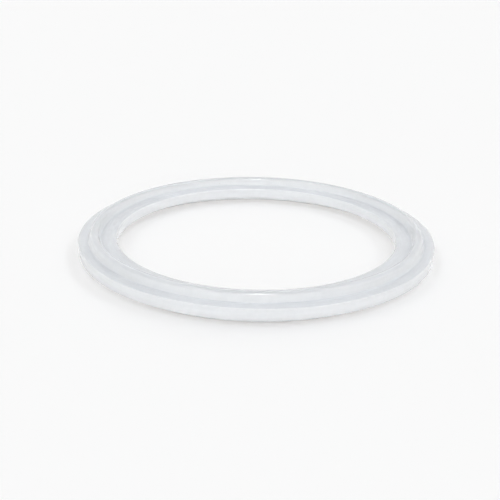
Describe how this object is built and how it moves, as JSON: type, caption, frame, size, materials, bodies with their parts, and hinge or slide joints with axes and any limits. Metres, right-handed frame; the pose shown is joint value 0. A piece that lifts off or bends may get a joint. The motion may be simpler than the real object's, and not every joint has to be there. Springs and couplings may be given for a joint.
{
  "type": "sanitary clamp gasket",
  "caption": "Flat moulded silicone ring with a rounded sealing bead raised on each face, clamped between sanitary tube ferrules.",
  "frame": {"origin": "centre of the bore on the ring's middle plane, half way between the crests of the beads", "axes": "+Z along the bore's axis, with the ring lying flat; X and Y lie in the middle plane, and all directions in it are alike"},
  "size_m": [0.0774, 0.0774, 0.006],
  "materials": {
    "silicone": "satin, milky translucent"
  },
  "bodies": {
    "root": {"gasket": "silicone"}
  },
  "joints": []
}
